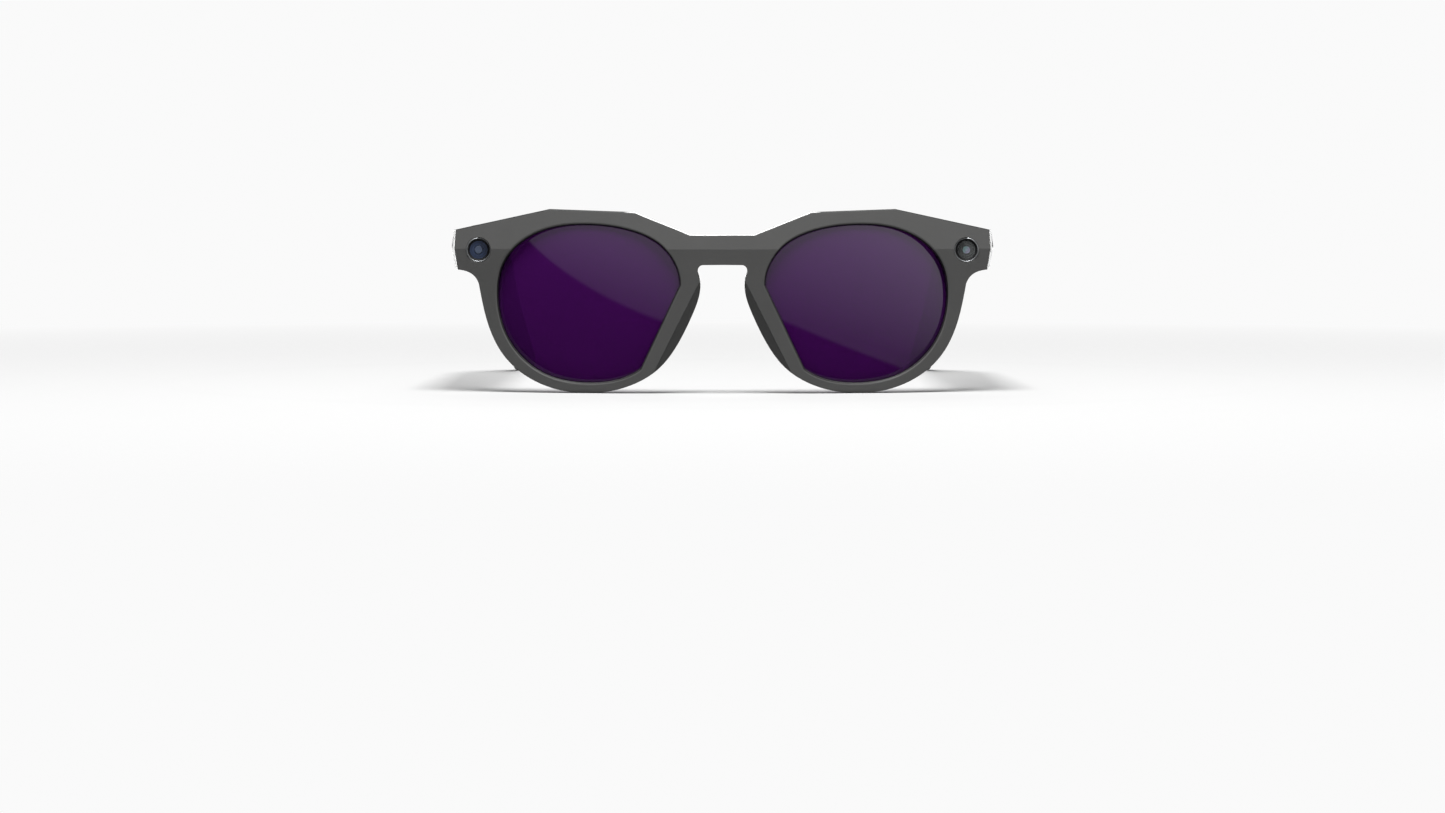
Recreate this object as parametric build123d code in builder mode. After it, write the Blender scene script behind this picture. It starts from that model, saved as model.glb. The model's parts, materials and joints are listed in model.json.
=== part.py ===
"""Smart glasses: a faceted front with tinted lenses, a camera and a lamp, on two folding electronic temples.

Row frame, millimetres: +X to the wearer's left, -Y the way the wearer looks, +Z up. The open glasses
stand on z = 0 on both rims and both temple tips, and the origin is the middle of that footprint.
"""

import os
from math import cos, radians, sin, sqrt, tan

from build123d import *

# ---- driving dimensions ---------------------------------------------------------------------------
FRONT_Y = -80.4  # where the front's own frame starts, at the foot of the rims
FOOT_LIFT = 0.0  # height of the front's own frame, so that the rims stand on z = 0
TILT = 0.0  # pantoscopic tilt of the front, degrees
FRONT_RADIUS = 210.0  # face-form curve of the front, in plan
LENS_RADIUS = 110.0  # spherical lens curve

CREASE_H = 39.1  # height of the horizontal crease on the front
UPPER_FACET = 12.0  # how far the facet above the crease leans back, degrees
RIM_DEPTH = 4.8
BROW_DEPTH = 6.4
BROW_LOW = 29.5  # the back steps out from here ...
BROW_HIGH = 33.0  # ... to here

LENS_THICKNESS = 2.0
LENS_GROOVE = 0.8
LENS_CENTRE = (36.3, 24.2)
TOP_CUT, LOW_CUT = (11.6, 29.4), (22.3, 6.6)  # ends of the lens's straight side
LENS_SEAT = 0.35  # depth of the lens's crown behind the front's skin
LENS_EDGE = 0.6  # rounding round the lens openings
TOP_EDGE = 0.35  # rounding along the brow

EYE_X = 66.7  # camera and lamp, from the middle
EYE_Z = 38.8
EYE_BORE = 3.4
EYE_INNER_X = 61.7  # inner side of the block around the camera
EYE_BLOCK_BACK = 18.6
BLOCK_LOW = 33.0  # underside of the block, up the front

END_TOP, END_CREASE, END_LOW = (72.9, 44.4), (73.4, 39.1), (72.4, 33.4)  # outer corners of the front
SIDE_FLARE = 6.0  # how far the outer ends flare as they run back, degrees
EYE_DEPTH = 7.0
NOSE_FACET = 28.0  # how steeply the facet beside the nose falls back, degrees

HINGE_X = 65.0
HINGE_BACK = 25.41  # hinge axis behind FRONT_Y
INNER_X = 65.7  # inner face of end block and temple
KNUCKLE_R = 1.9
RELIEF_R = 2.15
PIN_R = 0.75
PIN_BORE = 0.8
LEAF_T = 1.2
LEAF_LENGTH = 6.2
LEAF_LOW, LEAF_HIGH = 35.7, 43.8
KNUCKLE_LOW, KNUCKLE_HIGH = 38.3, 41.2

CREASE_Z = 39.6  # height of the crease along the temples
HOUSING = 88.0  # straight part of a temple, behind the hinge
EAR_RADIUS = 30.0
EAR_TURN = 52.0
EAR_RUN = 32.07
WALL = 1.3
GAP = 0.05  # assembly clearance

BOARD_T = 0.8
SCREW_R = 0.5
HEAD_R = 0.9
HEAD_T = 0.4
FLEX_PATH = [(0, 41.2), (8.2, 41.2), (24.2, 47.4), (47.0, 48.0), (59.5, 45.2)]
CHANNEL_W = 2.1
CHANNEL_DEPTH = 1.6
CONTACT = (2.2, 38.0)
CONTACT_R = 1.1
MIC_HEIGHT = 36.4
MIC_R = 0.8

BUTTON_Y, BUTTON_X = 20.0, 69.0  # middle of the capture button
BUTTON_RISE = 0.35  # how far its cap stands above the temple
BUTTON_LENGTH, BUTTON_WIDTH = 10.0, 2.6
SLIDER_Y, SLIDER_Z = 18.5, 39.7
SLIDER_LENGTH, SLIDER_WIDTH, SLIDER_TRAVEL = 3.2, 1.8, 1.0
LEAF_SCREWS = [37.2, 42.3]
LEAF_SCREW_Y = 4.4
COVER_SCREWS = [(9.7, 39.7), (82.0, 39.5)]
SLEEVE_W = 4.75  # half height of the ear piece where it starts ...
TIP_W = 4.0  # ... and at its end
TIP_BOW = 9.5  # how far the tip bows inward
TIP_T = 4.4  # thickness of the tip at its end
CORE_W = 1.5  # half height of the metal core
TIP_EDGE = 1.4  # rounding of the ear piece

HINGE_Y = FRONT_Y + HINGE_BACK
TEMPLE_Y = HINGE_Y + 0.15
BEND_Y = HINGE_Y + HOUSING
EYE_FACE_Y = FRONT_Y + 10.9  # where the skin is, in front of the camera

# The front's own frame: x as in the row, y up along the front, z out towards the viewer.
FRONT = Plane(
    origin=(0, FRONT_Y, FOOT_LIFT),
    x_dir=(1, 0, 0),
    z_dir=(0, -cos(radians(TILT)), -sin(radians(TILT))),
)
SIDES = {"left": False, "right": True}  # the right-hand copy is mirrored


def sag(x):
    """How far the front's skin falls back at a distance x from the middle."""
    return FRONT_RADIUS - sqrt(FRONT_RADIUS**2 - x**2)


def write(part, name):
    """Labels a finished piece and writes it as its own STEP file."""
    part.label = name
    export_step(part, f"parts/{name}.step")


def write_pair(part, name):
    """Writes the wearer's left piece, and its mirror image for the right."""
    for side, mirrored in SIDES.items():
        write(mirror(part, about=Plane.YZ) if mirrored else part, f"{name}_{side}")


# ---- outlines in the front's own frame ------------------------------------------------------------
def front_half_outline():
    """Right half of the front's silhouette as a closed wire on the builder's plane."""
    with BuildLine() as line:
        top = [(0, 43.1), (8.6, 43.1), (23.9, 49.2), (47.2, 50.0)]
        brow = Polyline(*top, (77.9, 43.3), (77.9, 35.0), (72.4, 33.4))
        Spline((72.4, 33.4), (68.8, 32.4), (66.6, 29.6), tangents=((-1, -0.1), (-0.35, -1)))
        Spline(
            (66.6, 29.6),
            (65.6, 24.5),
            (64.2, 19.1),
            (59.4, 9.7),
            (50.0, 2.65),
            (37.3, 0),
            (26.2, 1.7),
            (17.1, 6.9),
            (11.15, 15.1),
            (8.0, 21.7),
            (6.3, 26.6),
            (6.0, 30.0),
            (6.7, 33.0),
        )
        Line((6.7, 33.0), (6.7, 33.4))
        ThreePointArc((6.7, 33.4), (6.28, 34.4), (5.3, 34.85))
        Line((5.3, 34.85), (0, 34.9))
        Line((0, 34.9), brow @ 0)
    return line


def lens_outline():
    """Closed outline of the lens opening: round, with one straight cut at the nose side."""
    with BuildLine() as line:
        Spline(
            TOP_CUT,
            (12.3, 33.5),
            (16.6, 39.9),
            (25.0, 44.1),
            (36.5, 45.7),
            (50.8, 43.3),
            (59.5, 35.6),
            (61.3, 26.5),
            (58.0, 14.0),
            (48.4, 5.2),
            (36.5, 2.8),
            (27.5, 4.0),
            LOW_CUT,
        )
        Line(LOW_CUT, TOP_CUT)
    return line


def lens_face():
    """The lens opening as a sketch on the front's plane."""
    outline = lens_outline()
    with BuildSketch(FRONT) as sketch:
        with BuildLine():
            add(outline.line)
        make_face()
        fillet(sketch.vertices(), 1.1)
    return sketch.sketch


def grown_lens_face(grow):
    """The lens opening grown outward by a distance, as the lens's edge is."""
    rim = lens_outline().line.edges().sort_by(Edge.length)[-1]
    points = []
    for i in range(19):
        tangent = rim % (i / 18)
        points.append((rim @ (i / 18)) + Vector(-tangent.Y, tangent.X) * grow)
    side = Vector(LOW_CUT[1] - TOP_CUT[1], TOP_CUT[0] - LOW_CUT[0]).normalized() * grow
    joins = []
    for corner, end in ((Vector(*TOP_CUT), points[0]), (Vector(*LOW_CUT), points[-1])):
        middle = corner + (end - corner + side).normalized() * grow
        joins.append((end, middle, corner + side))
    with BuildSketch(FRONT) as sketch:
        with BuildLine():
            Spline(*points)
            for join in joins:
                ThreePointArc(*join)
            Line(joins[0][2], joins[1][2])
        make_face()
    return sketch.sketch


# ---- turned blanks --------------------------------------------------------------------------------
def turned(*profile):
    """A ring about the front's vertical axis from (depth, height) points; depth is minus behind the skin."""
    centre = FRONT.origin - FRONT.z_dir * FRONT_RADIUS
    section = Plane(origin=centre, x_dir=FRONT.z_dir * -1, z_dir=FRONT.x_dir)
    with BuildPart() as ring:
        with BuildSketch(section):
            with BuildLine():
                Polyline(*[(FRONT_RADIUS + depth, height) for depth, height in profile], close=True)
            make_face()
        revolve(axis=Axis(centre, FRONT.y_dir))
    return ring.part


def skin_depth(height):
    """Depth of the skin at a height: none below the crease, leaning back above it."""
    return -max(0.0, height - CREASE_H) * tan(radians(UPPER_FACET))


def front_shell():
    """The ring that the rims and bridge are cut from, with a deeper brow."""
    low, high = -3.0, 53.0
    return turned(
        (0, low),
        (0, CREASE_H),
        (skin_depth(high), high),
        (-BROW_DEPTH, high),
        (-BROW_DEPTH, BROW_HIGH),
        (-RIM_DEPTH, BROW_LOW),
        (-RIM_DEPTH, low),
    )


def behind_skin():
    """Everything behind the front's skin."""
    low, high, core = -3.0, 53.0, 5.0 - FRONT_RADIUS
    return turned((0, low), (0, CREASE_H), (skin_depth(high), high), (core, high), (core, low))


def lens_blank(grow, slack):
    """A lens cut from a spherical shell, or with slack the groove that it sits in."""
    x, height = LENS_CENTRE
    skin = Vector(x, height, -sag(x))
    normal = Vector(x, 0, sqrt(FRONT_RADIUS**2 - x**2)) / FRONT_RADIUS
    centre = FRONT.from_local_coords(skin - normal * (LENS_RADIUS + LENS_SEAT))
    outline = grown_lens_face(grow)
    with BuildPart(Plane(centre)) as shell:
        Sphere(LENS_RADIUS + slack)
        Sphere(LENS_RADIUS - LENS_THICKNESS - slack, mode=Mode.SUBTRACT)
    with BuildPart() as lens:
        extrude(outline, amount=30, both=True)
        add(shell.part, mode=Mode.INTERSECT)
    return lens.part


def end_block():
    """Room for the end block behind the outer corner: camera or lamp in front, hinge behind."""
    envelope = behind_skin()
    with BuildPart() as block:
        with BuildSketch(FRONT):
            with Locations((EYE_INNER_X, BLOCK_LOW)):
                Rectangle(20, 25, align=(Align.MIN, Align.MIN))
        extrude(amount=30, both=True)
        with BuildSketch(Plane.XY):
            with Locations((INNER_X, HINGE_Y)):
                Rectangle(30, 60, align=(Align.MIN, Align.MAX))
            with Locations((EYE_INNER_X, FRONT_Y + EYE_BLOCK_BACK)):
                Rectangle(30, 60, align=(Align.MIN, Align.MAX))
        extrude(amount=80, mode=Mode.INTERSECT)
        add(envelope, mode=Mode.INTERSECT)
    return block.part


def side_plane(high, low):
    """Plane through two corners of the front's outer end, flaring outward as it runs back."""
    back = Vector(sin(radians(SIDE_FLARE)), 0, -cos(radians(SIDE_FLARE)))
    corners = [Vector(x, height, -sag(x)) for x, height in (high, low)]
    normal = (corners[1] - corners[0]).cross(back)
    normal = normal if normal.X > 0 else normal * -1
    origin = FRONT.from_local_coords(corners[0])
    return Plane(origin=origin, z_dir=FRONT.from_local_coords(corners[0] + normal) - origin)


# ---- the front ------------------------------------------------------------------------------------
def nose_facet():
    """Wedge that bevels the nose edge along a straight line parallel to the lens's cut side."""
    top = Vector(6.3, 30.2, -sag(6.3))
    low = Vector(19.6, 3.9, -sag(19.6))
    start, end = FRONT.from_local_coords(top), FRONT.from_local_coords(low)
    along = (end - start).normalized()
    across = along.cross(FRONT.z_dir * -1)  # towards the nose
    across = across if across.X < 0 else across * -1
    with BuildPart() as wedge:
        with BuildSketch(Plane(origin=start - along * 3, x_dir=across, z_dir=along)) as section:
            with BuildLine():
                Polyline((0, 0), (14, 14 * tan(radians(NOSE_FACET))), (14, -14), (0, -14), close=True)
            make_face()
        extrude(amount=(end - start).length + 9)
    return wedge.part


def eye_bore():
    """Blind bore for the camera or lamp, straight back along Y from the front."""
    with BuildPart() as bore:
        with BuildSketch(Plane.XZ.offset(-(EYE_FACE_Y + EYE_DEPTH))):
            with Locations((EYE_X, EYE_Z)):
                Circle(EYE_BORE)
        extrude(amount=30)
    return bore.part


def leaf_plate(y_low, y_high, grow=0.0):
    """Plate of a hinge leaf, or with grow the recess that it sits in."""
    with BuildPart() as plate:
        with BuildSketch(Plane.XY.offset(LEAF_LOW - grow)):
            with Locations((INNER_X - grow, y_low - grow)):
                Rectangle(LEAF_T + 2 * grow, y_high - y_low + 2 * grow, align=(Align.MIN, Align.MIN))
        extrude(amount=LEAF_HIGH - LEAF_LOW + 2 * grow)
    return plate.part


def hinge_relief(low=30.0, high=50.0):
    """Round space about the hinge axis that the knuckles turn in."""
    with BuildPart() as relief:
        with BuildSketch(Plane.XY.offset(low)):
            with Locations((HINGE_X, HINGE_Y)):
                Circle(RELIEF_R)
        extrude(amount=high - low)
    return relief.part


def box(x_low, x_high, y_low, y_high, z_low, z_high):
    """A plain block between two corners, its y counted back from the hinge axis."""
    with BuildPart() as block:
        with BuildSketch(Plane.XY.offset(z_low)):
            with Locations(((x_low + x_high) / 2, HINGE_Y + (y_low + y_high) / 2)):
                Rectangle(x_high - x_low, y_high - y_low)
        extrude(amount=z_high - z_low)
    return block.part


def band(points, width, low, high):
    """A strip of the front's ring along a path up the front, between two depths behind the skin."""
    ring = turned((low, -3), (low, 53), (high, 53), (high, -3))
    with BuildPart() as strip:
        with BuildSketch(FRONT):
            with BuildLine() as path:
                Polyline(*points)
            trace(path.edges(), width)
        extrude(amount=30, both=True)
        add(ring, mode=Mode.INTERSECT)
    return strip.part


def bridge_plate(width, low_h, high_h, low, high):
    """A rectangle across the bridge, between two depths behind the skin."""
    ring = turned((low, -3), (low, 53), (high, 53), (high, -3))
    with BuildPart() as plate:
        with BuildSketch(FRONT):
            with Locations((0, (low_h + high_h) / 2)):
                RectangleRounded(width, high_h - low_h, 0.8)
        extrude(amount=30, both=True)
        add(ring, mode=Mode.INTERSECT)
    return plate.part


def whole(half):
    """Both halves of a piece that is the same on either side of the middle."""
    return half + mirror(half, about=Plane.YZ)


def near_skin(point, tolerance=0.12):
    """Whether a point of the front lies on its skin."""
    local = FRONT.to_local_coords(point)
    return abs(local.Z - skin_depth(local.Y) + sag(local.X)) < tolerance


def front_half():
    """The +X half of the front frame, before rounding."""
    opening, blank = lens_face(), front_shell() + end_block()
    cuts = [
        lens_blank(LENS_GROOVE, GAP),
        nose_facet(),
        eye_bore(),
        leaf_plate(HINGE_Y - LEAF_LENGTH, HINGE_Y + 1, grow=GAP),
        hinge_relief(),
    ]
    outline = front_half_outline()
    with BuildPart() as half:
        with BuildSketch(FRONT):
            with BuildLine():
                add(outline.line)
            make_face()
        extrude(amount=30, both=True)
        extrude(opening, amount=30, both=True, mode=Mode.SUBTRACT)
        add(blank, mode=Mode.INTERSECT)
        for plane in (side_plane(END_TOP, END_CREASE), side_plane(END_CREASE, END_LOW)):
            split(bisect_by=plane, keep=Keep.BOTTOM)
        for cut in cuts:
            add(cut, mode=Mode.SUBTRACT)
    return half.part


def around_lens(edge):
    """Whether an edge of the skin runs round a lens opening."""
    middle = FRONT.to_local_coords(edge @ 0.5)
    x, height = abs(middle.X), middle.Y
    if x > 61 or x < 11:
        return False
    across = (x - 11.6) * 22.8 + (height - 29.4) * 10.7  # zero along the cut side
    within = ((x - 36.4) / 26.0) ** 2 + ((height - 24.2) / 22.4) ** 2 < 1.1
    return within and across > -40


def rounded_front(frame):
    """Rounds the front's skin where it meets the lens openings and the top edge."""
    skin = [edge for edge in frame.edges() if all(near_skin(edge @ t) for t in (0, 0.3, 0.5, 0.7, 1))]
    frame = frame.fillet(LENS_EDGE, [edge for edge in skin if around_lens(edge)])
    skin = [edge for edge in frame.edges() if all(near_skin(edge @ t) for t in (0, 0.3, 0.5, 0.7, 1))]
    top = [edge for edge in skin if FRONT.to_local_coords(edge @ 0.5).Y > 43 and not around_lens(edge)]
    return frame.fillet(TOP_EDGE, top)


def on_rear(x, height, radius, low, high):
    """A round plug at a point of the bridge, between two depths behind the skin."""
    with BuildPart() as plug:
        with BuildSketch(FRONT.offset(low)):
            with Locations((x, height)):
                Circle(radius)
        extrude(amount=high - low)
    return plug.part


def front_frame():
    """The moulded front: rims, bridge, end blocks, and the pockets for what it carries."""
    frame = rounded_front(whole(front_half()))
    frame -= whole(band(FLEX_PATH, CHANNEL_W, -BROW_DEPTH - 1, CHANNEL_DEPTH - BROW_DEPTH))
    for side in (-1, 1):
        frame -= on_rear(side * CONTACT[0], CONTACT[1], CONTACT_R + GAP, -BROW_DEPTH - 1, 0.7 - BROW_DEPTH)
    frame -= on_rear(0, MIC_HEIGHT, MIC_R + GAP, -BROW_DEPTH - 1, 0.8 - BROW_DEPTH)
    holes = Part() + [leaf_screw(height, -LEAF_SCREW_Y, GAP) for height in LEAF_SCREWS]
    return frame - whole(holes)


def lens():
    """One lens, its edge standing in the groove."""
    return lens_blank(LENS_GROOVE - 0.1, 0)


def brow_cover():
    """Strip that closes the wiring channel along the back of the brow."""
    return whole(band(FLEX_PATH, CHANNEL_W - 2 * GAP, -BROW_DEPTH, 0.6 - BROW_DEPTH))


def front_flex():
    """Flat cable under the strip, from one end block to the other."""
    floor = CHANNEL_DEPTH - BROW_DEPTH
    return whole(band(FLEX_PATH, CHANNEL_W - 0.5, floor - 0.25, floor))


def nose_pad():
    """Soft pad on the back of the nose side of a rim."""
    inner, outer = -RIM_DEPTH - 2.4, -RIM_DEPTH
    ring = turned((inner, -3), (inner, 53), (outer, 53), (outer, -3))
    with BuildPart() as pad:
        with BuildSketch(FRONT):
            with Locations((12.0, 20.4)):
                SlotCenterToCenter(13.0, 4.2, rotation=-64.8)
        extrude(amount=-30)
        add(ring, mode=Mode.INTERSECT)
        rear = pad.faces().sort_by(Axis(FRONT.origin, FRONT.z_dir))[0]
        fillet(rear.edges(), 1.1)
    return pad.part


# ---- camera and lamp ------------------------------------------------------------------------------
def eye_turned(*profile):
    """A piece turned about the camera's axis from (radius, depth) points; depth is counted backwards."""
    with BuildPart() as piece:
        with BuildSketch(Plane(origin=(EYE_X, EYE_FACE_Y, EYE_Z), x_dir=(1, 0, 0), z_dir=(0, 0, 1))):
            with BuildLine():
                Polyline(*profile, close=True)
            make_face()
        revolve(axis=Axis((EYE_X, EYE_FACE_Y, EYE_Z), (0, 1, 0)))
    return piece.part


def eye_square(size, front, back):
    """A square plate across the camera's axis, between two depths."""
    with BuildPart() as plate:
        with BuildSketch(Plane.XZ.offset(-(EYE_FACE_Y + back))):
            with Locations((EYE_X, EYE_Z)):
                Rectangle(size, size)
        extrude(amount=back - front)
    return plate.part


def eye_bezel():
    """Bright ring round the camera or lamp, with the shelf that its window rests on."""
    outer = EYE_BORE - GAP
    return eye_turned(
        (outer, 0.85),
        (outer - 0.1, 0.75),
        (outer - 0.25, 0.75),
        (2.5, 1.25),
        (2.5, 1.65),
        (2.15, 1.65),
        (2.15, 1.9),
        (outer, 1.9),
    )


def camera_barrel():
    """Stepped baffle that leads down to the lens."""
    return eye_turned(
        (2.7, 1.95),
        (1.9, 1.95),
        (1.9, 2.15),
        (1.6, 2.15),
        (1.6, 2.35),
        (1.05, 2.65),
        (1.05, 5.2),
        (3.3, 5.2),
        (3.3, 4.4),
        (2.7, 4.4),
    )


def camera_lens():
    """Front element of the camera: a dome in the barrel."""
    with BuildPart() as element:
        with BuildSketch(Plane(origin=(EYE_X, EYE_FACE_Y, EYE_Z), x_dir=(1, 0, 0), z_dir=(0, 0, 1))):
            with BuildLine():
                ThreePointArc((0, 2.45), (0.53, 2.53), (1.05, 2.8))
                Line((1.05, 2.8), (1.05, 3.8))
                Line((1.05, 3.8), (0, 3.8))
                Line((0, 3.8), (0, 2.45))
            make_face()
        revolve(axis=Axis((EYE_X, EYE_FACE_Y, EYE_Z), (0, 1, 0)))
    return element.part


def lamp_window():
    """Tinted window with a hole for the light guide."""
    return eye_turned((1.15, 1.25), (2.45, 1.25), (2.45, 1.65), (1.15, 1.65))


def light_guide():
    """Clear guide from the lamp to the middle of its window."""
    return eye_turned((0, 1.2), (1.0, 1.2), (1.1, 1.3), (1.1, 3.0), (0, 3.0))


def lamp_holder():
    """Sleeve that holds the light guide."""
    return eye_turned((1.15, 1.95), (3.3, 1.95), (3.3, 4.0), (1.5, 4.0), (1.5, 3.05), (1.15, 3.05))


# ---- hinges ---------------------------------------------------------------------------------------
def leaf_screw(height, y, grow=0.0):
    """Countersunk screw through a leaf at a place behind the hinge axis, or with grow its hole."""
    with BuildPart() as screw:
        with BuildSketch(Plane(origin=(INNER_X, HINGE_Y + y, height), x_dir=(1, 0, 0), z_dir=(0, -1, 0))):
            with BuildLine():
                Polyline(
                    (-grow, 0),
                    (-grow, HEAD_R + grow),
                    (HEAD_T, HEAD_R + grow),
                    (HEAD_T, SCREW_R + grow),
                    (3.4 + grow, SCREW_R + grow),
                    (3.4 + grow, 0),
                    close=True,
                )
            make_face()
        revolve(axis=Axis((INNER_X, HINGE_Y + y, height), (1, 0, 0)))
    return screw.part


def leaf_screws(y):
    """Both screws of one leaf, with their driver slots."""
    slot = box(INNER_X - 1, INNER_X + 0.22, y - 1, y + 1, -0.14, 0.14)
    screws = [leaf_screw(height, y) - Pos(0, 0, height) * slot for height in LEAF_SCREWS]
    return Compound([screw.solid() for screw in screws])


def knuckle(low, high, radius=KNUCKLE_R):
    """A cylinder about the hinge axis."""
    with BuildPart() as barrel:
        with BuildSketch(Plane.XY.offset(low)):
            with Locations((HINGE_X, HINGE_Y)):
                Circle(radius)
        extrude(amount=high - low)
    return barrel.part


def hinge_leaf(y_low, y_high, y_screw, knuckles, spaces):
    """A leaf: its plate, its knuckles, the space for the other leaf's, the bore and the screw holes."""
    plate = leaf_plate(HINGE_Y + y_low, HINGE_Y + y_high)
    for low, high in spaces:
        plate -= knuckle(low, high, RELIEF_R)
    for low, high in knuckles:
        plate += knuckle(low, high)
    plate -= knuckle(LEAF_LOW - 1, LEAF_HIGH + 1, PIN_BORE)
    for height in LEAF_SCREWS:
        plate -= leaf_screw(height, y_screw, GAP)
    return plate


def front_leaf():
    """The leaf in the end block, with the two outer knuckles."""
    outer = [(LEAF_LOW, KNUCKLE_LOW), (KNUCKLE_HIGH, LEAF_HIGH)]
    return hinge_leaf(-LEAF_LENGTH, 0, -LEAF_SCREW_Y, outer, [(KNUCKLE_LOW, KNUCKLE_HIGH)])


def temple_leaf():
    """The leaf in the temple, with the middle knuckle."""
    spaces = [(LEAF_LOW - 1, KNUCKLE_LOW + GAP), (KNUCKLE_HIGH - GAP, LEAF_HIGH + 1)]
    middle = [(KNUCKLE_LOW + GAP, KNUCKLE_HIGH - GAP)]
    return hinge_leaf(0.2, LEAF_LENGTH, LEAF_SCREW_Y, middle, spaces)


def hinge_screw():
    """Hinge pin with a slotted head on top."""
    head, slot = LEAF_HIGH + 0.6, 0.15
    pin = knuckle(LEAF_LOW, LEAF_HIGH, PIN_R) + knuckle(LEAF_HIGH, head, 1.35)
    return pin - box(HINGE_X - 2, HINGE_X + 2, -slot, slot, head - 0.25, head + 1)


# ---- temples, the wearer's left --------------------------------------------------------------------
def slab(y_low, y_high, low, high):
    """A tapering block between two cross sections (x_low, x_high, z_low, z_high)."""
    with BuildPart() as block:
        for y, (x_low, x_high, z_low, z_high) in ((y_low, low), (y_high, high)):
            with BuildSketch(Plane.XZ.offset(-(HINGE_Y + y))):
                with Locations(((x_low + x_high) / 2, (z_low + z_high) / 2)):
                    Rectangle(x_high - x_low, z_high - z_low)
        loft(ruled=True)
    return block.part


def temple_blank():
    """The temple's faceted outside, from the hinge to the ear piece."""
    hinge_end = [(INNER_X, 45.9), (74.2, 44.1), (74.8, CREASE_Z), (73.6, 34.0), (INNER_X, 33.5)]
    ear_end = [(INNER_X, 44.1), (70.9, 43.6), (71.8, CREASE_Z), (70.8, 35.3), (INNER_X, 34.8)]
    with BuildPart() as blank:
        for y, corners in ((TEMPLE_Y, hinge_end), (BEND_Y, ear_end)):
            with BuildSketch(Plane.XZ.offset(-y)):
                with BuildLine():
                    Polyline(*corners, close=True)
                make_face()
        loft(ruled=True)
    return blank.part


def cover_slab(grow=0.0):
    """The long inner cover, or with grow the rebate that it sits in."""
    front = (INNER_X - grow, INNER_X + LEAF_T, 34.6 - grow, 44.8 + grow)
    rear = (INNER_X - grow, INNER_X + LEAF_T, 35.7 - grow, 43.2 + grow)
    return slab(7.4 - grow, 84.0 + grow, front, rear)


def temple_shell(side):
    """The outer shell of one temple, with its cavity, pockets and openings."""
    shell = temple_blank()
    outline = [edge for edge in shell.edges() if edge.length > 50 and (edge @ 0.5).X > INNER_X + 1]
    shell = shell.fillet(0.4, outline)
    shell -= cover_slab(GAP)
    shell -= slab(12, 80, (INNER_X - 1, 72.0, 35.4, 43.7), (INNER_X - 1, 69.7, 36.4, 42.6))
    shell -= leaf_plate(HINGE_Y - 1, HINGE_Y + LEAF_LENGTH, GAP)
    shell -= hinge_relief()
    shell -= core_bar(GAP)
    for height in LEAF_SCREWS:
        shell -= leaf_screw(height, LEAF_SCREW_Y, GAP)
    for y, height in COVER_SCREWS:
        shell -= leaf_screw(height, y, GAP)
    shell -= box(67.5, 69.3, 62, 74, 32, 37)
    shell -= on_top(68.5, 70.0, 13.2, 0.35, 32, 36)
    if side == "right":
        shell -= on_top(BUTTON_X, BUTTON_X, BUTTON_Y, BUTTON_WIDTH / 2 + 0.1, 42, 48, BUTTON_LENGTH + 0.2)
    return shell


def on_top(x_low, x_high, y, radius, z_low, z_high, length=0.0):
    """A round or slot-shaped plug standing upright in the temple."""
    with BuildPart() as plug:
        with BuildSketch(Plane.XY.offset(z_low)):
            with Locations(((x_low + x_high) / 2, HINGE_Y + y)):
                if length:
                    SlotOverall(length, 2 * radius, rotation=90)
                else:
                    Circle(radius)
        extrude(amount=z_high - z_low)
    return plug.part


def temple_cover(side):
    """Inner cover of one temple; the left one has the slot of the power slider."""
    cover = cover_slab()
    for y, height in COVER_SCREWS:
        cover -= leaf_screw(height, y, GAP)
    if side == "left":
        half_slot, half_width = SLIDER_LENGTH / 2 + SLIDER_TRAVEL + 0.1, SLIDER_WIDTH / 2 + 0.1
        slot = (SLIDER_Y - half_slot, SLIDER_Y + half_slot, SLIDER_Z - half_width, SLIDER_Z + half_width)
        cover -= box(INNER_X - 1, INNER_X + 2, *slot)
    return cover


def cover_screws():
    """Both screws of the inner cover."""
    screws = []
    for y, height in COVER_SCREWS:
        slot = box(INNER_X - 1, INNER_X + 0.22, y - 1, y + 1, height - 0.14, height + 0.14)
        screws.append(leaf_screw(height, y) - slot)
    return Compound([screw.solid() for screw in screws])


def ear_path(t):
    """Point and downward normal on the ear piece's centre line: the bend is t 0..1, the run 1..2."""
    turn = radians(EAR_TURN * min(t, 1))
    y = BEND_Y + EAR_RADIUS * sin(turn)
    z = CREASE_Z - 0.1 - EAR_RADIUS * (1 - cos(turn))
    run = max(t - 1, 0) * EAR_RUN
    return (y + run * cos(turn), z - run * sin(turn)), (-sin(turn), -cos(turn))


def ear_outline(w_start, w_end, start=0.0, end=2.0):
    """Side view of the ear piece, with half heights at its two ends."""
    steps = [start + (end - start) * i / 8 for i in range(9)]
    upper, lower = [], []
    for t in steps:
        (y, z), (ny, nz) = ear_path(t)
        half = w_start + (w_end - w_start) * t / 2
        upper.append((y - ny * half, z - nz * half))
        lower.append((y + ny * half, z + nz * half))
    (y, z), (ny, nz) = ear_path(end)
    half = w_start + (w_end - w_start) * end / 2
    nose = (y - nz * half, z + ny * half)
    with BuildLine() as line:
        Spline(*upper)
        Spline(*lower)
        Line(upper[0], lower[0])
        ThreePointArc(upper[-1], nose, lower[-1])
    return line


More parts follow.
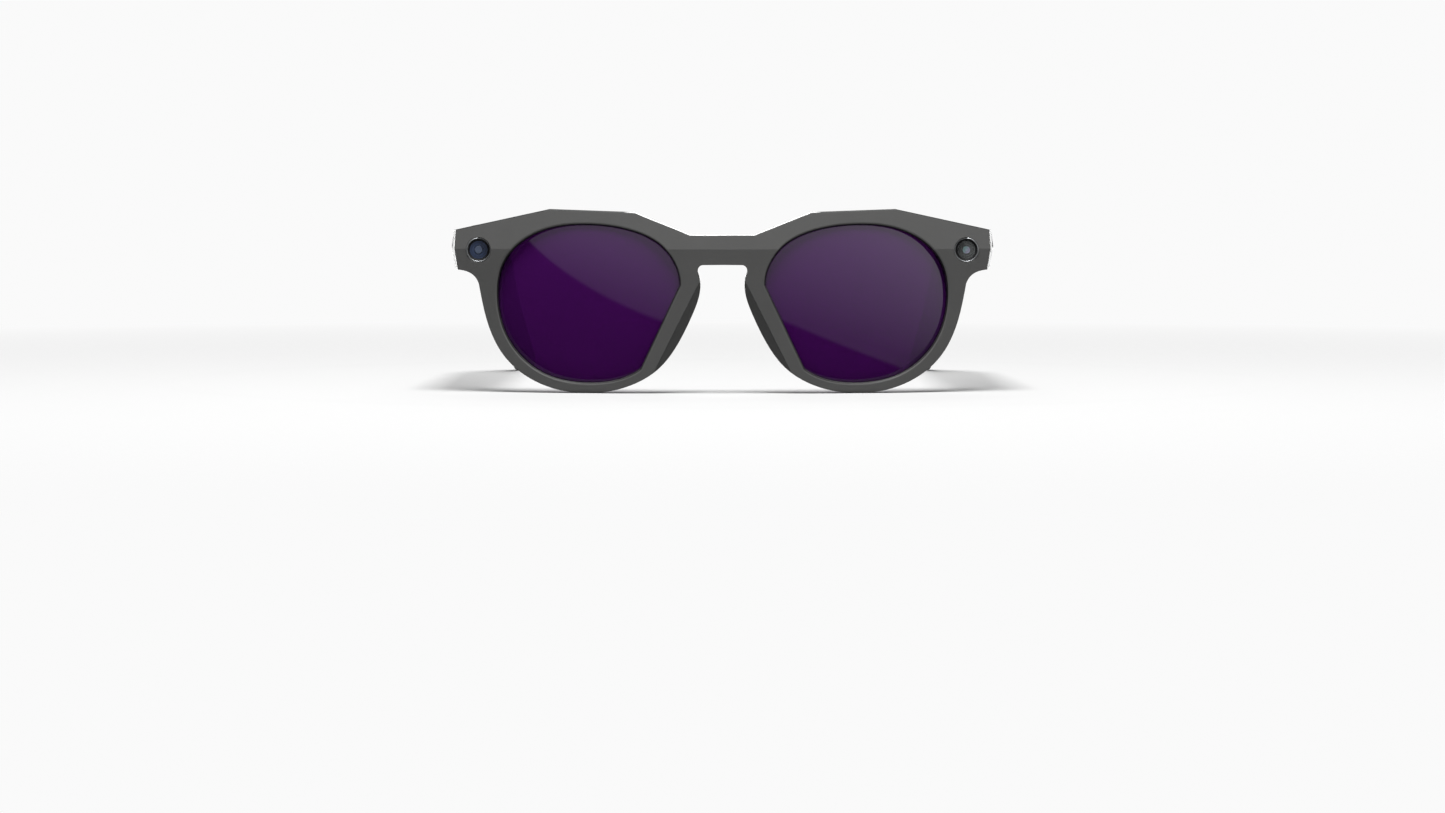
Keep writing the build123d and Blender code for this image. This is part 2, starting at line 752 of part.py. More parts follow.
def ear_piece(w_start, w_end, inset, t_end, end=2.0):
    """An ear piece: its side view, cut to a plan that bows inward."""
    outline = ear_outline(w_start, w_end, end=end)
    last_y = BEND_Y + 48
    inner, outer = INNER_X + inset, 71.8 - inset
    last_outer = inner - TIP_BOW + t_end
    with BuildPart() as piece:
        with BuildSketch(Plane.YZ.offset(50)):
            with BuildLine():
                add(outline.line)
            make_face()
        extrude(amount=40)
        with BuildSketch(Plane.XY) as plan:
            with BuildLine():
                Spline((inner, BEND_Y), (inner - 0.25 * TIP_BOW, BEND_Y + 22), (inner - TIP_BOW, last_y))
                Line((inner - TIP_BOW, last_y), (last_outer, last_y))
                Spline((last_outer, last_y), (outer - 0.3 * TIP_BOW, BEND_Y + 22), (outer, BEND_Y))
                Line((outer, BEND_Y), (inner, BEND_Y))
            make_face()
        extrude(amount=60, mode=Mode.INTERSECT)
    return piece.part


def core_bar(grow=0.0):
    """Metal core that joins the ear piece to the shell, or with grow the pocket for it."""
    bar = ear_piece(CORE_W + grow, CORE_W + grow, 2.0 - grow, 1.1 + 2 * grow, end=1.6)
    root = slab(84.6 - grow, HOUSING, *[(INNER_X + 2 - grow, 69.8 + grow, 38.0 - grow, 41.0 + grow)] * 2)
    return bar + root


def temple_tip():
    """Soft ear piece over the core."""
    tip = ear_piece(SLEEVE_W, TIP_W, 0, TIP_T)
    long_edges = [edge for edge in tip.edges() if edge.length > 4 and (edge @ 0.5).Y > BEND_Y + 1]
    return tip.fillet(TIP_EDGE, long_edges) - core_bar(GAP)


def speaker_grille():
    """Perforated insert in the speaker opening."""
    grille = box(67.55, 69.25, 62.05, 73.95, 34.6, 35.3)
    for i in range(7):
        for x in (67.95, 68.85):
            grille -= on_top(x, x, 63.2 + 1.6 * i, 0.28, 34, 37)
    return grille


def capture_button():
    """Press button on top of the right temple, flanged so that it cannot fall out."""
    post = on_top(BUTTON_X, BUTTON_X, BUTTON_Y, BUTTON_WIDTH / 2, 43.0, 48, BUTTON_LENGTH)
    cap = post & (Pos(0, 0, BUTTON_RISE) * temple_blank())
    cap = cap.fillet(0.25, cap.faces().sort_by(Axis.Z)[-1].edges())
    flange = on_top(BUTTON_X, BUTTON_X, BUTTON_Y, BUTTON_WIDTH / 2 + 0.4, 42.8, 43.15, BUTTON_LENGTH + 0.8)
    return cap + flange


def power_slider():
    """Thumb slider with ridges, held by a flange behind the cover."""
    y, z, half, width = SLIDER_Y, SLIDER_Z, SLIDER_LENGTH / 2, SLIDER_WIDTH / 2
    slider = box(INNER_X - 0.35, INNER_X + 1.3, y - half, y + half, z - width, z + width)
    for offset in (-0.9, -0.3, 0.3, 0.9):
        slider -= box(INNER_X - 1, INNER_X - 0.15, y + offset - 0.12, y + offset + 0.12, z - 2, z + 2)
    return slider + box(INNER_X + 1.25, INNER_X + 1.7, y - 2.6, y + 2.6, z - 1.5, z + 1.5)


def main_board():
    """Main board with its components."""
    board = box(66.9, 66.9 + BOARD_T, 26.5, 58, 36.4, 42.6)
    parts = [(27.5, 29, 37.4, 40), (44, 48.5, 37.2, 41.4), (50.5, 53, 39, 41.5), (54, 56.5, 37.2, 39.2)]
    for y_low, y_high, z_low, z_high in parts:
        board += box(67.6, 68.6, y_low, y_high, z_low, z_high)
    return board


# ---- the pieces -----------------------------------------------------------------------------------
def mirrored(part):
    """The mirror image of a piece, for the wearer's right."""
    return mirror(part, about=Plane.YZ)


def charging_contacts():
    """Two gold contacts on the back of the bridge."""
    x, height = CONTACT
    pads = [on_rear(side * x, height, CONTACT_R, -BROW_DEPTH - 0.1, 0.7 - BROW_DEPTH) for side in (-1, 1)]
    return Compound([pad.solid() for pad in pads])


def nose_microphone():
    """Microphone in the bridge with its sound hole."""
    can = on_rear(0, MIC_HEIGHT, MIC_R, -BROW_DEPTH + 0.05, 0.8 - BROW_DEPTH)
    return can - on_rear(0, MIC_HEIGHT, 0.25, -BROW_DEPTH - 1, 0.3 - BROW_DEPTH)


def write_front():
    """The front and everything fixed to it."""
    write(front_frame(), "front_frame")
    write_pair(lens(), "lens")
    write_pair(nose_pad(), "nose_pad")
    write(brow_cover(), "brow_cover")
    write(front_flex(), "front_flex")
    write(charging_contacts(), "charging_contacts")
    write(nose_microphone(), "nose_microphone")
    write_pair(front_leaf(), "front_hinge_leaf")
    write_pair(leaf_screws(-LEAF_SCREW_Y), "front_leaf_screws")
    write_pair(hinge_screw(), "hinge_screw")


def write_eyes():
    """The camera on the wearer's left and the lamp on the right."""
    write(eye_bezel(), "camera_bezel")
    write(eye_turned((0, 1.25), (2.45, 1.25), (2.45, 1.65), (0, 1.65)), "camera_window")
    write(eye_turned((1.9, 1.65), (2.1, 1.65), (2.1, 1.95), (1.9, 1.95)), "camera_seal")
    write(camera_barrel(), "camera_barrel")
    write(camera_lens(), "camera_lens")
    write(eye_square(1.4, 4.85, 5.2), "camera_sensor")
    write(eye_square(4.6, 5.2, 6.0), "camera_board")
    write(mirrored(eye_bezel()), "lamp_bezel")
    write(mirrored(lamp_window()), "lamp_window")
    write(mirrored(light_guide()), "light_guide")
    write(mirrored(lamp_holder()), "lamp_holder")
    write(mirrored(eye_square(1.6, 3.3, 4.0)), "lamp_led")
    write(mirrored(eye_square(4.6, 4.0, 4.8)), "lamp_board")


def write_temples():
    """What both temples have, the right-hand ones as mirror images."""
    for side, turn in (("left", lambda part: part), ("right", mirrored)):
        write(turn(temple_shell(side)), f"temple_shell_{side}")
        write(turn(temple_cover(side)), f"temple_cover_{side}")
    write_pair(temple_tip(), "temple_tip")
    write_pair(core_bar(), "tip_core")
    write_pair(temple_leaf(), "temple_hinge_leaf")
    write_pair(leaf_screws(LEAF_SCREW_Y), "temple_leaf_screws")
    write_pair(cover_screws(), "cover_screws")
    write_pair(box(66.9, 69.6, 61, 75, 36.8, 42.4), "speaker")
    write_pair(speaker_grille(), "speaker_grille")
    write_pair(box(66.9, 70.3, 12.4, 14.2, 35.7, 37.0), "temple_microphone")


def write_controls():
    """What only one temple has."""
    write(box(66.9, 70.2, 26, 58, 36.4, 42.6), "battery")
    write(power_slider(), "power_slider")
    write(box(67.45, 67.45 + BOARD_T, 12.6, 24.6, 37.6, 42.4), "power_switch_board")
    write(mirrored(capture_button()), "capture_button")
    write(mirrored(box(66.9, 70.6, 17, 23, 40.6, 42.3)), "button_switch")
    write(mirrored(main_board()), "main_board")
    write(mirrored(box(67.7, 69.1, 30, 42, 37.0, 42.2)), "processor_shield")
    touch = [(70.9, 71.1, 37.0, 42.2), (70.1, 70.3, 37.0, 42.2)]
    write(mirrored(slab(30, 58, *touch)), "touch_sensor")


os.makedirs("parts", exist_ok=True)
write_front()
write_eyes()
write_temples()
write_controls()
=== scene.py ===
"""Smart glasses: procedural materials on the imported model, with a plain studio round it."""

import json
from math import radians

import bpy
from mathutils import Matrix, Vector


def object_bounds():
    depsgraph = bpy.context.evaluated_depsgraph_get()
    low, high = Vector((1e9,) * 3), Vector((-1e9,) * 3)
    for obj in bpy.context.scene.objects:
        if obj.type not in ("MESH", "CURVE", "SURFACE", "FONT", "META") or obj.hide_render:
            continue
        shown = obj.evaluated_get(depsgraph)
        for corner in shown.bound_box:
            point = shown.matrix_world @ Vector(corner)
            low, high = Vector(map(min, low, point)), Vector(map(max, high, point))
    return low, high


MM = 0.001
BLACK = (0, 0, 0, 1)
EDGE_WEAR_AND_HIGHLIGHT_TONE = 1.12  # moulded edges painted paler: partly rubbed wear, partly a painted highlight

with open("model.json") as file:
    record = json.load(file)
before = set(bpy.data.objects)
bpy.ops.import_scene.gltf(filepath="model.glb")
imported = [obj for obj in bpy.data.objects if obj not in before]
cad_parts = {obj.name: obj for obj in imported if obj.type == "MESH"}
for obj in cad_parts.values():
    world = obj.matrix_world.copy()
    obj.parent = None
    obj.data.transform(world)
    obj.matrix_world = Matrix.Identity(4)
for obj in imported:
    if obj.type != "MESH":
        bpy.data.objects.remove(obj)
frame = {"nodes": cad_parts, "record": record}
cad_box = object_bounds()
record = frame["record"]
slot_of = {part["node"]: part["material_slot"] for part in record["subparts"]}


# ---- shader helpers ---------------------------------------------------------
class Shader:
    """A node tree with short ways to add and join nodes."""

    def __init__(self, tree):
        self.tree = tree
        tree.nodes.clear()

    def node(self, kind, inputs=None, **settings):
        """Adds a node, sets its settings, and sets or links its inputs."""
        made = self.tree.nodes.new(kind)
        for name, value in settings.items():
            setattr(made, name, value)
        for name, value in (inputs or {}).items():
            if isinstance(value, bpy.types.NodeSocket):
                self.tree.links.new(value, made.inputs[name])
            else:
                made.inputs[name].default_value = value
        return made

    def math(self, operation, first, second=0.0, third=0.0):
        """A math node's result."""
        values = {0: first, 1: second, 2: third}
        return self.node("ShaderNodeMath", values, operation=operation).outputs[0]

    def product(self, first, second):
        """Two numbers multiplied."""
        return self.math("MULTIPLY", first, second)

    def place(self, source="Object"):
        """The three numbers of a texture coordinate: by default the place, in metres in the CAD frame."""
        point = self.node("ShaderNodeTexCoord").outputs[source]
        return self.node("ShaderNodeSeparateXYZ", {0: point}).outputs

    def noise(self, scale, detail=3.0, roughness=0.5, stretch=None):
        """Noise over the object's own coordinates; scale is in features per metre."""
        place = self.node("ShaderNodeTexCoord").outputs["Object"]
        if stretch:
            place = self.node("ShaderNodeMapping", {"Vector": place, "Scale": stretch}).outputs[0]
        inputs = {"Vector": place, "Scale": scale, "Detail": detail, "Roughness": roughness}
        return self.node("ShaderNodeTexNoise", inputs).outputs["Fac"]

    def between(self, fac, low, high, start=0.3, end=0.7):
        """A number that runs from low to high as fac runs from start to end."""
        inputs = {"Value": fac, "From Min": start, "From Max": end, "To Min": low, "To Max": high}
        return self.node("ShaderNodeMapRange", inputs).outputs[0]

    def step(self, fac, start, end):
        """A share that rises from 0 to 1 as fac runs from start to end."""
        return self.between(fac, 0.0, 1.0, start, end)

    def blend(self, fac, first, second):
        """A colour between two colours."""
        mix = self.node("ShaderNodeMix", data_type="RGBA")
        for index, value in ((0, fac), (6, first), (7, second)):
            if isinstance(value, bpy.types.NodeSocket):
                self.tree.links.new(value, mix.inputs[index])
            else:
                mix.inputs[index].default_value = value
        return mix.outputs[2]

    def edges(self, radius):
        """(rounded normal, how near the surface is to an edge) for edges of that radius."""
        rounded = self.node("ShaderNodeBevel", {"Radius": radius}, samples=6).outputs[0]
        flat = self.node("ShaderNodeNewGeometry").outputs["Normal"]
        inputs = {0: rounded, 1: flat}
        match = self.node("ShaderNodeVectorMath", inputs, operation="DOT_PRODUCT").outputs["Value"]
        return rounded, self.between(match, 1.0, 0.0, 0.9, 0.999)

    def open_to_air(self, reach):
        """How open the surface is within a reach: 1 on open faces, less in corners."""
        inputs = {"Distance": reach}
        return self.node("ShaderNodeAmbientOcclusion", inputs, samples=6).outputs["AO"]


def colour(values, factor=1.0):
    """A colour with alpha, scaled."""
    return (*[value * factor for value in values], 1.0)


def surface(name, build):
    """A material whose shader tree is made by build(shader), which returns the closure."""
    material = bpy.data.materials.new(name)
    material.use_nodes = True
    shader = Shader(material.node_tree)
    closure = build(shader)
    shader.node("ShaderNodeOutputMaterial", {"Surface": closure})
    return material


BRIDGE_HIGHLIGHT_HALF_WIDTH = 24 * MM  # the painted highlight on the bridge ends this far from the middle
BRIDGE_HIGHLIGHT_BOTTOM = 41 * MM  # and lies above this height


def bridge_highlight_share(shader):
    """Where the bridge's top edge is painted pale as a painted highlight: it faces forward and up, near the
    middle.
    """
    normal_point = shader.node("ShaderNodeNewGeometry").outputs["Normal"]
    normal = shader.node("ShaderNodeSeparateXYZ", {0: normal_point}).outputs
    rises = shader.step(normal[2], 0.36, 0.5)
    ahead = shader.step(normal[1], -0.02, -0.12)
    x, _, z = shader.place()
    end = BRIDGE_HIGHLIGHT_HALF_WIDTH + 3 * MM
    middle = shader.step(shader.math("ABSOLUTE", x), end, BRIDGE_HIGHLIGHT_HALF_WIDTH)
    high = shader.step(z, BRIDGE_HIGHLIGHT_BOTTOM, BRIDGE_HIGHLIGHT_BOTTOM + 1 * MM)
    return shader.product(shader.product(rises, ahead), shader.product(middle, high))


def turned_face_shade_share(shader):
    """Where the skin is painted darker as painted shade: the rounding of the lens openings, and half of that
    beside the nose.

    It goes by how far the surface turns from the object's own front, so it stays put in every view.
    """
    ahead = shader.place("Normal")[1]
    turned = shader.step(ahead, -0.905, -0.82)
    return shader.product(turned, shader.step(ahead, -0.15, -0.35))


def moulded(base, rough, grain=9000.0, depth=0.012, edge=0.22, specular=0.5, bridge_highlight=None, turned_face_shade=0.0):
    """Moulded plastic or rubber: spark-eroded grain, slow mottling, softened edges painted paler as wear and
    as a painted highlight, corners painted darker as painted shade.

    Grain is in features per metre; depth and edge radius are in millimetres. The bridge-edge colour is a
    painted highlight on the bridge's top edge, and the dark share is the black painted as shade on the
    front's turned faces.
    """

    def build(shader):
        rounded, nearness = shader.edges(edge * MM)
        mottle = shader.noise(110.0, 4.0)
        fine = shader.noise(grain, 2.0, 0.6)
        tone = shader.blend(mottle, colour(base, 0.93), colour(base, 1.07))
        speck = shader.blend(shader.between(fine, 0.0, 0.16), tone, colour(base, 1.45))
        # edges painted paler: partly rubbed wear, partly a painted highlight where edges catch light
        worn_and_painted_light = shader.blend(shader.product(nearness, 0.85), speck, colour(base, EDGE_WEAR_AND_HIGHLIGHT_TONE))
        if turned_face_shade:
            # the front's turned faces painted darker: painted shade
            worn_and_painted_light = shader.blend(shader.product(turned_face_shade_share(shader), turned_face_shade), worn_and_painted_light, BLACK)
        if bridge_highlight:
            # the bridge's top edge painted pale: a painted highlight
            worn_and_painted_light = shader.blend(bridge_highlight_share(shader), worn_and_painted_light, colour(bridge_highlight))
        # corners and crevices painted darker: painted shade
        corner = shader.between(shader.open_to_air(1.6 * MM), 0.22, 1.0, 0.45, 0.85)
        shade = shader.blend(corner, BLACK, worn_and_painted_light)
        height = shader.noise(grain, 3.0, 0.65)
        bump = shader.node(
            "ShaderNodeBump",
            {"Height": height, "Distance": depth * MM, "Strength": 0.6, "Normal": rounded},
        )
        inputs = {
            "Base Color": shade,
            "Roughness": shader.between(shader.noise(420.0, 3.0), rough - 0.05, rough + 0.05),
            "Normal": bump.outputs[0],
            "Specular IOR Level": specular,
        }
        return shader.node("ShaderNodeBsdfPrincipled", inputs).outputs[0]

    return build


def metal(base, rough, brushed=(1.0, 1.0, 1.0), grain=2600.0, edge=0.06):
    """Machined or plated metal with fine tool marks."""

    def build(shader):
        rounded, nearness = shader.edges(edge * MM)
        marks = shader.noise(grain, 4.0, 0.6, brushed)
        stain = shader.noise(260.0, 3.0)
        tone = shader.blend(stain, colour(base, 0.88), colour(base, 1.06))
        # edges painted brighter than the faces: a painted highlight
        bright = shader.blend(shader.product(nearness, 0.5), tone, colour(base, 1.3))
        bump = shader.node(
            "ShaderNodeBump",
            {"Height": marks, "Distance": 0.004 * MM, "Strength": 0.5, "Normal": rounded},
        )
        inputs = {
            "Base Color": bright,
            "Metallic": 1.0,
            "Roughness": shader.between(marks, rough - 0.06, rough + 0.08),
            "Normal": bump.outputs[0],
        }
        return shader.node("ShaderNodeBsdfPrincipled", inputs).outputs[0]

    return build


LENS_TINT = (0.0372, 0.0036, 0.0610, 1)
LENS_TINT_HAZY = (0.0410, 0.0040, 0.0670, 1)
# paler colour where the lens is seen aslant: a painted sheen
LENS_SHEEN_ASLANT = (0.050, 0.008, 0.080, 1)
# colour painted where the lens meets the frame's groove: painted shade
LENS_GROOVE_SHADE = (0.004, 0.001, 0.006, 1)
LENS_CLEAR = 0.22  # share of the light that goes straight through


def tinted_lens(shader):
    """Dark violet sun lens: a polished hard coat over a tint that lets a little light through."""
    facing = shader.node("ShaderNodeLayerWeight", {"Blend": 0.25}).outputs["Facing"]
    haze = shader.noise(55.0, 3.0)
    deep = shader.blend(haze, LENS_TINT, LENS_TINT_HAZY)
    # tint painted paler where the lens is seen aslant: a painted sheen
    tint = shader.blend(facing, deep, LENS_SHEEN_ASLANT)
    # the lens painted darker where the groove closes round it: painted shade
    corner = shader.between(shader.open_to_air(0.5 * MM), 0.0, 1.0, 0.45, 0.85)
    body = shader.blend(corner, LENS_GROOVE_SHADE, tint)
    inputs = {
        "Base Color": body,
        "Roughness": shader.between(shader.noise(900.0, 2.0), 0.012, 0.03),
        "IOR": 1.58,
        "Coat Weight": 0.6,
        "Coat Roughness": 0.01,
        "Coat Tint": (0.93, 0.9, 1.0, 1),
    }
    coat = shader.node("ShaderNodeBsdfPrincipled", inputs).outputs[0]
    through = shader.node("ShaderNodeBsdfTransparent", {"Color": (0.40, 0.10, 0.50, 1)}).outputs[0]
    return shader.node("ShaderNodeMixShader", {0: LENS_CLEAR, 1: coat, 2: through}).outputs[0]


EYE_X, EYE_Z = 66.7, 38.8  # axis of the camera and the lamp, millimetres
COATING_SLOPE = 0.6  # lean of the border between the camera's two coatings
BRIGHT_RING_RADIUS = 3.02  # where their bezel turns from black to bright, millimetres


def eye_radius(shader):
    """Distance from the axis of the camera or the lamp, in millimetres."""
    x, _, z = shader.place()
    aside = shader.math("MULTIPLY_ADD", shader.math("ABSOLUTE", x), 1 / MM, -EYE_X)
    above = shader.math("MULTIPLY_ADD", z, 1 / MM, -EYE_Z)
    squares = shader.math("ADD", shader.product(aside, aside), shader.product(above, above))
    return shader.math("SQRT", squares)


def coating_side(shader):
    """0 on the teal side of the camera, 1 on the lilac side: the border leans across its axis."""
    x, _, z = shader.place()
    lean = shader.math("MULTIPLY_ADD", z, -COATING_SLOPE, x)
    middle = EYE_X - COATING_SLOPE * EYE_Z
    return shader.step(lean, (middle - 0.5) * MM, (middle + 0.5) * MM)


def window(disc, body, through, clear, reach):
    """Coated flat glass: disc(shader) colours it within reach millimetres of its axis, body beyond.

    Faint rings run round the axis. Clear is the share of light that passes, tinted by through.
    """

    def build(shader):
        radius = eye_radius(shader)
        smear = shader.noise(700.0, 3.0)
        wave = shader.math("SINE", shader.product(radius, 9.0))
        rings = shader.between(wave, 0.85, 1.15, -1.0, 1.0)
        rim = shader.step(radius, reach - 0.08, reach + 0.08)
        plain = shader.blend(rim, disc(shader), (*body, 1))
        dusty = shader.blend(shader.product(smear, 0.12), plain, (0.20, 0.21, 0.22, 1))
        ringed = shader.node("ShaderNodeVectorMath", {0: dusty, 1: rings}, operation="MULTIPLY")
        inputs = {
            "Base Color": ringed.outputs[0],
            "Roughness": shader.between(smear, 0.02, 0.06),
            "IOR": 1.5,
            "Specular IOR Level": 0.3,
            "Coat Weight": 0.3,
            "Coat Roughness": 0.02,
        }
        glass = shader.node("ShaderNodeBsdfPrincipled", inputs).outputs[0]
        clear_part = shader.node("ShaderNodeBsdfTransparent", {"Color": (*through, 1)}).outputs[0]
        return shader.node("ShaderNodeMixShader", {0: clear, 1: glass, 2: clear_part}).outputs[0]

    return build


def coatings(shader):
    """Teal and lilac glint of the coated lens behind, painted on the camera window as colour: a painted
    reflection.
    """
    return shader.blend(coating_side(shader), (0.19, 0.31, 0.31, 1), (0.29, 0.28, 0.38, 1))


def lamp_middle(shader):
    """Paler, slightly mottled middle painted on the lamp window over the light guide."""
    mottle = shader.noise(1500.0, 3.0)
    return shader.blend(mottle, (0.034, 0.050, 0.082, 1), (0.044, 0.062, 0.098, 1))


def ringed_bezel(shader):
    """Black anodised ring whose narrow front edge is turned bright."""
    bright = shader.step(eye_radius(shader), BRIGHT_RING_RADIUS, BRIGHT_RING_RADIUS + 0.06)
    uneven = shader.between(shader.noise(5200.0, 3.0, 0.6, (1.0, 6.0, 1.0)), -0.06, 0.06)
    inputs = {
        "Base Color": shader.blend(bright, (0.012, 0.012, 0.013, 1), (0.32, 0.33, 0.34, 1)),
        "Metallic": bright,
        "Roughness": shader.math("ADD", uneven, shader.between(bright, 0.62, 0.42, 0.0, 1.0)),
        "Specular IOR Level": 0.08,
    }
    return shader.node("ShaderNodeBsdfPrincipled", inputs).outputs[0]


def baffle(shader):
    """Moulded baffle with fine rings about its axis."""
    wave = shader.math("SINE", shader.product(eye_radius(shader), 20.0))
    rings = shader.step(wave, -1.0, 1.0)
    inputs = {
        "Base Color": shader.blend(rings, (0.075, 0.077, 0.077, 1), (0.20, 0.205, 0.205, 1)),
        "Roughness": shader.between(shader.noise(6000.0), 0.4, 0.55),
    }
    return shader.node("ShaderNodeBsdfPrincipled", inputs).outputs[0]


def coated_lens(shader):
    """Front element of the camera: teal and lilac coatings that meet across the dome."""
    swirl = shader.blend(shader.noise(900.0, 2.0), (0.9, 0.9, 0.9, 1), (1.1, 1.1, 1.1, 1))
    coats = shader.blend(coating_side(shader), (0.66, 0.90, 0.92, 1), (0.86, 0.80, 0.98, 1))
    uneven = shader.node("ShaderNodeVectorMath", {0: coats, 1: swirl}, operation="MULTIPLY")
    inputs = {
        "Base Color": uneven.outputs[0],
        "Metallic": 0.85,
        "Roughness": 0.22,
        "Coat Weight": 0.5,
        "Coat Roughness": 0.02,
    }
    return shader.node("ShaderNodeBsdfPrincipled", inputs).outputs[0]


def circuit(shader):
    """Solder mask with copper traces and plated pads showing."""
    place = shader.node("ShaderNodeTexCoord").outputs["Object"]
    squares = shader.node(
        "ShaderNodeTexVoronoi",
        {"Vector": place, "Scale": 620.0},
        distance="CHEBYCHEV",
        feature="F1",
    ).outputs["Distance"]
    pads = shader.step(squares, 0.2, 0.16)
    traces = shader.noise(900.0, 1.0, 0.4, (1.0, 0.25, 1.0))
    lines = shader.step(traces, 0.5, 0.52)
    mask = shader.blend(lines, (0.008, 0.045, 0.02, 1), (0.016, 0.085, 0.035, 1))
    inputs = {
        "Base Color": shader.blend(pads, mask, (0.75, 0.52, 0.22, 1)),
        "Metallic": pads,
        "Roughness": shader.between(traces, 0.28, 0.4),
    }
    return shader.node("ShaderNodeBsdfPrincipled", inputs).outputs[0]


MATERIALS = {
    "frame_plastic": surface(
        "frame_plastic",
        moulded((0.068, 0.068, 0.067), 0.46, specular=0.16, bridge_highlight=(0.8, 0.8, 0.8), turned_face_shade=0.85),
    ),
    "cover_plastic": surface("cover_plastic", moulded((0.030, 0.030, 0.031), 0.38, edge=0.15)),
    "lens_tint": surface("lens_tint", tinted_lens),
    "soft_rubber": surface(
        "soft_rubber",
        moulded((0.036, 0.036, 0.036), 0.68, grain=6500.0, depth=0.02, edge=0.3, specular=0.35),
    ),
    "bezel_metal": surface("bezel_metal", ringed_bezel),
    # the camera window's middle carries the lens coatings' glint as colour: a painted reflection
    "camera_glass": surface(
        "camera_glass",
        window(coatings, (0.090, 0.095, 0.095), (0.85, 0.88, 0.90), 0.35, 1.0),
    ),
    "lamp_glass": surface(
        "lamp_glass",
        window(lamp_middle, (0.017, 0.030, 0.072), (0.30, 0.42, 0.75), 0.12, 0.85),
    ),
    "light_guide": surface("light_guide", moulded((0.060, 0.078, 0.122), 0.3, grain=3000.0, edge=0.1)),
    "hinge_steel": surface("hinge_steel", metal((0.33, 0.33, 0.34), 0.3, (6.0, 1.0, 1.0))),
    "contact_gold": surface("contact_gold", metal((0.85, 0.58, 0.26), 0.2)),
    "circuit_board": surface("circuit_board", circuit),
    "chip_black": surface("chip_black", moulded((0.018, 0.018, 0.019), 0.5, grain=12000.0, edge=0.08)),
    "flex_film": surface("flex_film", moulded((0.30, 0.13, 0.03), 0.3, grain=2000.0, edge=0.03)),
    "battery_foil": surface("battery_foil", metal((0.55, 0.55, 0.57), 0.32, grain=900.0, edge=0.2)),
}

# Nodes that share a slot with another piece but look different.
OWN_MATERIALS = {
    "camera_lens": surface("coated_lens", coated_lens),
    "camera_barrel": surface("baffle", baffle),
}

for node_name, node in frame["nodes"].items():
    node.data.materials.clear()
    node.data.materials.append(OWN_MATERIALS.get(node_name, MATERIALS[slot_of[node_name]]))


# ---- studio -----------------------------------------------------------------
FLOOR_RADIUS = 6.0
FLOOR_FADE = (0.16, 0.55)  # distances between which the floor turns into the backdrop, metres
FLOOR_PAPER = (0.38, 0.38, 0.38, 1)
FLOOR_GLOW = 0.40  # what the far floor gives off as light; the camera sees it as WHITE
WHITE = 0.955  # strength of the backdrop as the camera sees it
STRIP_STRENGTH = 8.0  # bright strips mirrored at each side behind


def make_floor():
    """A plain pale floor that fades into the backdrop's tone away from the object."""
    bpy.ops.mesh.primitive_circle_add(vertices=96, radius=FLOOR_RADIUS, fill_type="NGON")
    floor = bpy.context.object
    floor.name = "floor"
    floor.visible_glossy = False

    def build(shader):
        point = shader.node("ShaderNodeTexCoord").outputs["Object"]
        distance = shader.node("ShaderNodeVectorMath", {0: point}, operation="LENGTH").outputs["Value"]
        far = shader.step(distance, *FLOOR_FADE)
        paint = shader.node("ShaderNodeBsdfDiffuse", {"Color": FLOOR_PAPER}).outputs[0]
        seen = shader.node("ShaderNodeLightPath").outputs["Is Camera Ray"]
        strength = shader.between(seen, FLOOR_GLOW, WHITE, 0.0, 1.0)
        glow = shader.node("ShaderNodeEmission", {"Color": (1, 1, 1, 1), "Strength": strength}).outputs[0]
        return shader.node("ShaderNodeMixShader", {0: far, 1: paint, 2: glow}).outputs[0]

    floor.data.materials.append(surface("floor_paper", build))


def mirrored_softbox(shader, x, y, z):
    """What the lenses mirror in front: a bright sheet above a slanting, slightly bowed edge."""
    forward = shader.math("MAXIMUM", shader.product(y, -1.0), 0.001)
    across = shader.math("DIVIDE", x, forward)
    up = shader.math("DIVIDE", z, forward)
    left = shader.math("MAXIMUM", shader.product(across, -1.0), 0.0)
    bow = shader.product(left, shader.math("MULTIPLY_ADD", left, -0.23, 0.09))
    slant = shader.math("MULTIPLY_ADD", across, 0.44, up)
    edge = shader.math("ADD", slant, shader.math("ADD", bow, 0.122))
    rise = shader.math("MULTIPLY_ADD", up, 1.15, shader.math("MULTIPLY_ADD", across, 0.42, 0.35))
    brightness = shader.math("MINIMUM", shader.math("MAXIMUM", rise, 0.25), 1.35)
    sheet = shader.product(shader.step(edge, 0.0, 0.022), brightness)
    return shader.product(sheet, shader.step(y, 0.02, -0.2))


def mirrored_backdrop(shader, x, y, z):
    """What is mirrored behind: pale paper with an upright bright strip at each side."""
    backward = shader.math("MAXIMUM", y, 0.001)
    aside = shader.math("DIVIDE", shader.math("ABSOLUTE", x), backward)
    level = shader.math("DIVIDE", shader.math("ABSOLUTE", z), backward)
    upright = shader.product(shader.step(aside, 0.06, 0.09), shader.step(aside, 0.4, 0.35))
    strip = shader.product(upright, shader.step(level, 0.16, 0.12))
    paper = shader.between(y, 0.0, 0.9, 0.02, 0.25)
    return shader.math("MULTIPLY_ADD", strip, STRIP_STRENGTH, paper)


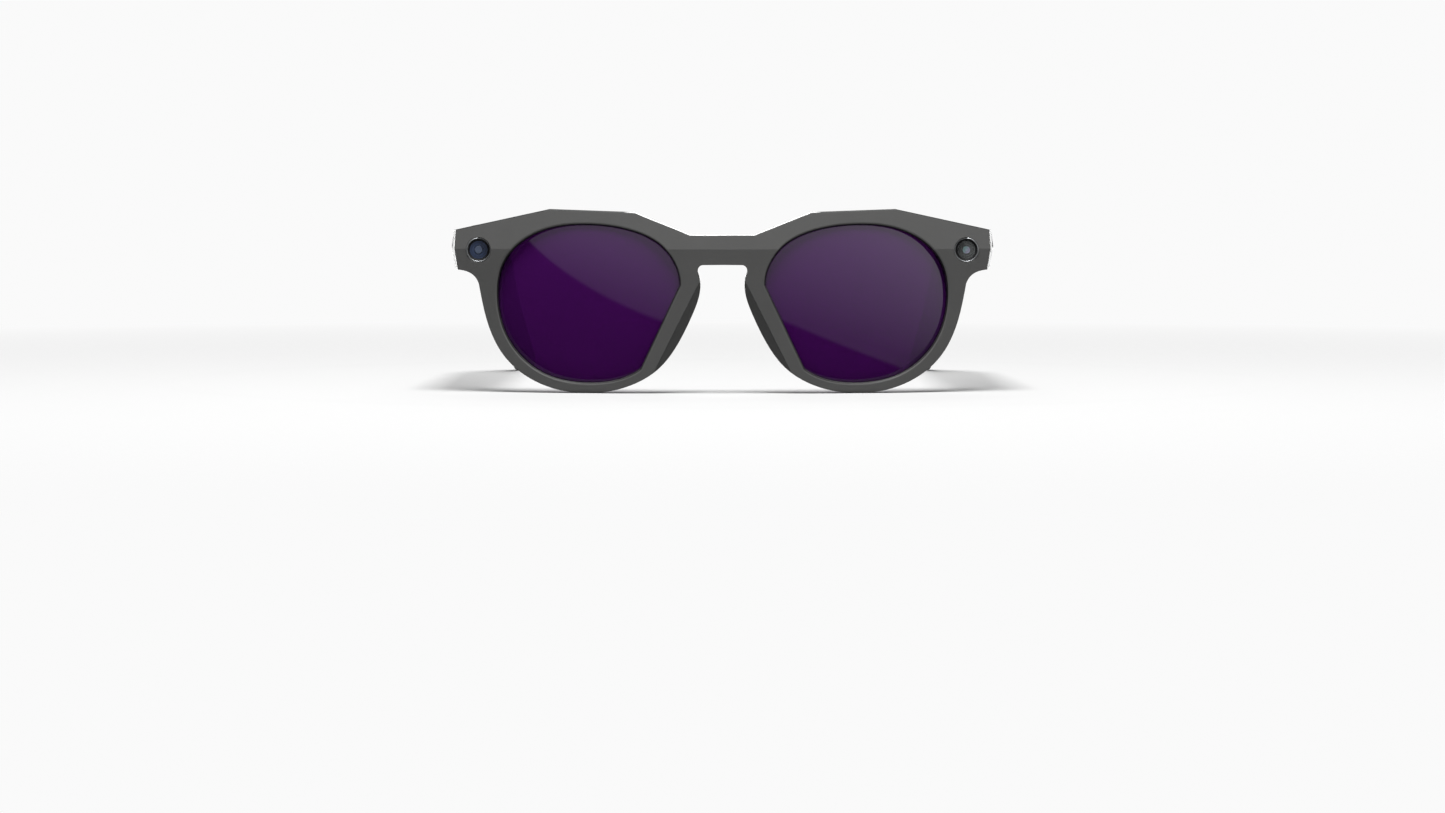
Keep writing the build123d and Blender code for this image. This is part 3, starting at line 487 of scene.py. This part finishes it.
def make_world():
    """Pale surroundings: plain for the camera, soft light from above, and a softbox for gloss only."""
    world = bpy.data.worlds.new("studio")
    bpy.context.scene.world = world
    world.use_nodes = True
    shader = Shader(world.node_tree)
    x, y, z = shader.place("Generated")
    softbox = mirrored_softbox(shader, x, y, z)
    mirrored = shader.math("MAXIMUM", softbox, mirrored_backdrop(shader, x, y, z))
    from_ahead = shader.between(y, 1.0, 0.25, -0.95, 0.1)
    ambient = shader.product(shader.between(z, 0.10, 0.26, -0.2, 0.9), from_ahead)
    rays = shader.node("ShaderNodeLightPath").outputs
    seen = shader.blend(rays["Is Glossy Ray"], ambient, mirrored)
    shown = shader.blend(rays["Is Camera Ray"], seen, (WHITE, WHITE, WHITE, 1))
    background = shader.node("ShaderNodeBackground", {"Color": shown, "Strength": 1.0}).outputs[0]
    shader.node("ShaderNodeOutputWorld", {"Surface": background})


def add_area(name, place, target, size, energy, mirrored=True):
    """A soft square light that looks at a point; mirrored says whether gloss shows it."""
    light = bpy.data.lights.new(name, "AREA")
    light.shape, light.size, light.energy = "SQUARE", size, energy
    holder = bpy.data.objects.new(name, light)
    holder.location = place
    holder.visible_glossy = mirrored
    holder.rotation_euler = (Vector(target) - Vector(place)).to_track_quat("-Z", "Y").to_euler()
    bpy.context.scene.collection.objects.link(holder)


FRAME_MIDDLE = -3.6 * MM  # height of the picture's middle at the glasses


def make_camera():
    """A long lens, level with the glasses, with the picture's centre just under their feet."""
    distance, height, width = 1.300, 0.060, 0.3925
    front = cad_box[0].y
    data = bpy.data.cameras.new("camera")
    data.sensor_width, data.sensor_fit = 36.0, "HORIZONTAL"
    data.lens = 36.0 * distance / width
    data.shift_y = (FRAME_MIDDLE - height) / width
    data.clip_start, data.clip_end = 0.05, 30.0
    camera = bpy.data.objects.new("camera", data)
    camera.location = (0.0, front + 3 * MM - distance, height)
    camera.rotation_euler = (radians(90), 0, 0)
    bpy.context.scene.collection.objects.link(camera)
    bpy.context.scene.camera = camera


make_floor()
make_world()
make_camera()
CENTRE = (0.0, -0.05, 0.03)
add_area("key", (0.0, -0.36, 1.38), CENTRE, 0.7, 50.0)
add_area("back", (0.0, 1.1, 0.9), CENTRE, 0.9, 8.0, mirrored=False)
bpy.context.scene.view_settings.view_transform = "Standard"
